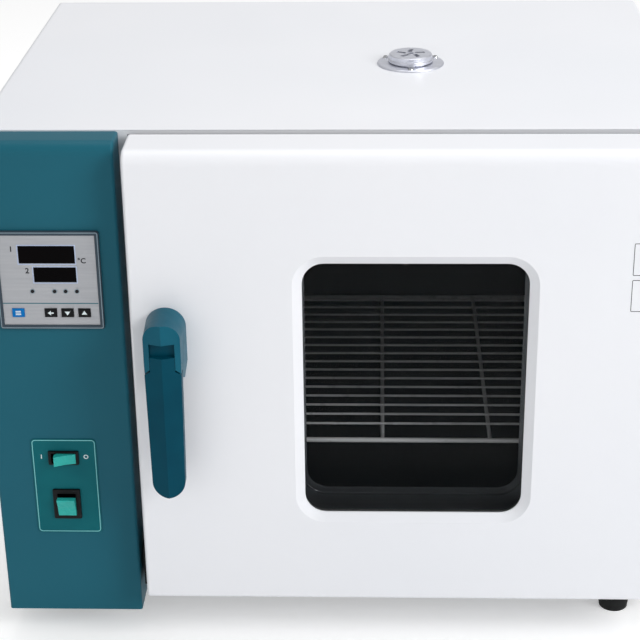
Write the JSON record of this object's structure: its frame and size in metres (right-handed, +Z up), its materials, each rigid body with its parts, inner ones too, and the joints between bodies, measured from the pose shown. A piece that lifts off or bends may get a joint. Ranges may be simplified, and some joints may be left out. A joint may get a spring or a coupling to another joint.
{
  "type": "laboratory convection oven",
  "caption": "Bench-top forced-air oven with an insulated windowed door, a pivoting pull lever, a front control column, a wire shelf, a rear fan and a turning roof vent.",
  "frame": {"origin": "on the floor, under the middle of the overall width and depth with the door closed", "axes": "+X to the right seen from the front, +Y to the back, +Z up"},
  "size_m": [0.62, 0.53, 0.5],
  "materials": {
    "white_enamel": "smooth semi-gloss",
    "galvanised": "matt",
    "stainless": "brushed",
    "bright_chrome": "polished",
    "plain_aluminium": "satin",
    "heater_sheath": "heat tinted",
    "motor_black": "matt",
    "teal_column": "smooth semi-gloss",
    "teal_handle": "satin",
    "teal_plate": "satin",
    "rocker_teal": "gloss",
    "black_plastic": "fine matt",
    "bezel_grey": "satin",
    "face_grey": "satin",
    "display_dark": "gloss",
    "lamp_lens": "gloss",
    "key_blue": "satin",
    "key_black": "satin",
    "pane": "clear",
    "silicone": "matt",
    "black_rubber": "matt",
    "mineral_wool": "fibrous",
    "plain_brass": "satin"
  },
  "bodies": {
    "cabinet": {"base_pan": "galvanised", "catch_magnets": "black_plastic", "compartment_wall": "galvanised", "control_fascia": "teal_column", "controller_bezel": "bezel_grey", "controller_face": "face_grey", "controller_housing": "black_plastic", "display_lenses": "display_dark", "door_gasket": "silicone", "door_guide_strip": "black_plastic", "duct_plate": "stainless", "earth_terminal": "plain_brass", "fan_motor": "motor_black", "fan_switch_frame": "black_plastic", "front_frame": "white_enamel", "heating_element": "heater_sheath", "hinge_cabinet_leaves": "stainless", "hinge_pins": "stainless", "indicator_lenses": "lamp_lens", "inner_chamber": "stainless", "insulation_blocks": "mineral_wool", "motor_bracket": "galvanised", "outer_casing": "white_enamel", "overheat_thermostat": "black_plastic", "power_inlet": "black_plastic", "power_switch_frame": "black_plastic", "rear_panel": "white_enamel", "rear_panel_screws": "bright_chrome", "rubber_feet": "black_rubber", "shelf_rail_left": "stainless", "shelf_rail_right": "stainless", "solid_state_relay": "black_plastic", "switch_plate": "teal_plate", "temperature_probe": "stainless", "terminal_block": "black_plastic", "vent_base": "bright_chrome", "vent_screws": "bright_chrome", "vent_tube": "plain_aluminium"},
    "door": {"door_shell": "white_enamel", "door_inner_pan": "stainless", "door_insulation": "mineral_wool", "outer_glass": "pane", "window_seal": "silicone", "inner_glass": "pane", "handle_base": "teal_handle", "handle_pin": "stainless", "plunger_bush": "black_plastic", "hinge_door_leaves": "stainless"},
    "grip": {"handle_grip": "teal_handle"},
    "plunger": {"latch_plunger": "stainless"},
    "shelf": {"wire_shelf": "bright_chrome"},
    "fan": {"fan_impeller": "plain_aluminium", "fan_shaft": "stainless"},
    "vent_cap": {"vent_disc": "bright_chrome"},
    "fan_key": {"fan_rocker": "rocker_teal"},
    "power_key": {"power_rocker": "rocker_teal"},
    "set_key": {"key_set": "key_blue"},
    "shift_key": {"key_shift": "key_black"},
    "down_key": {"key_down": "key_black"},
    "up_key": {"key_up": "key_black"}
  },
  "joints": [
    {"name": "door_hinge", "type": "hinge", "parent": "cabinet", "child": "door", "pos_m": [0.304, -0.183, 0.2725], "axis": [0, 0, 1], "range_deg": [0, 120]},
    {"name": "lever_pivot", "type": "hinge", "parent": "door", "child": "grip", "pos_m": [-0.1455, -0.257, 0.311], "axis": [-1, 0, 0], "range_deg": [0, 20], "stiffness_Nm_per_rad": 0.3},
    {"name": "plunger_slide", "type": "slide", "parent": "door", "child": "plunger", "axis": [0, 1, 0], "range_m": [0, 0.0042]},
    {"name": "shelf_slide", "type": "slide", "parent": "cabinet", "child": "shelf", "axis": [0, -1, 0], "range_m": [0, 0.015]},
    {"name": "fan_spin", "type": "hinge", "parent": "cabinet", "child": "fan", "pos_m": [0.066, 0.2, 0.266], "axis": [0, 1, 0], "continuous": true},
    {"name": "vent_turn", "type": "hinge", "parent": "cabinet", "child": "vent_cap", "pos_m": [0.066, 0.0245, 0.495], "axis": [0, 0, 1], "range_deg": [0, 36]},
    {"name": "fan_switch", "type": "hinge", "parent": "cabinet", "child": "fan_key", "pos_m": [-0.2473, -0.2057, 0.1916], "axis": [0, 0, -1], "range_deg": [0, 36]},
    {"name": "power_switch", "type": "hinge", "parent": "cabinet", "child": "power_key", "pos_m": [-0.2473, -0.2057, 0.1438], "axis": [-1, 0, 0], "range_deg": [0, 36]},
    {"name": "set_press", "type": "slide", "parent": "cabinet", "child": "set_key", "axis": [0, 1, 0], "range_m": [0, 0.0006], "stiffness_N_per_m": 400},
    {"name": "shift_press", "type": "slide", "parent": "cabinet", "child": "shift_key", "axis": [0, 1, 0], "range_m": [0, 0.0006], "stiffness_N_per_m": 400},
    {"name": "down_press", "type": "slide", "parent": "cabinet", "child": "down_key", "axis": [0, 1, 0], "range_m": [0, 0.0006], "stiffness_N_per_m": 400},
    {"name": "up_press", "type": "slide", "parent": "cabinet", "child": "up_key", "axis": [0, 1, 0], "range_m": [0, 0.0006], "stiffness_N_per_m": 400}
  ],
  "couplings": [
    {"joint": "plunger_slide", "follows": "lever_pivot", "m_per_rad": 0.012}
  ]
}
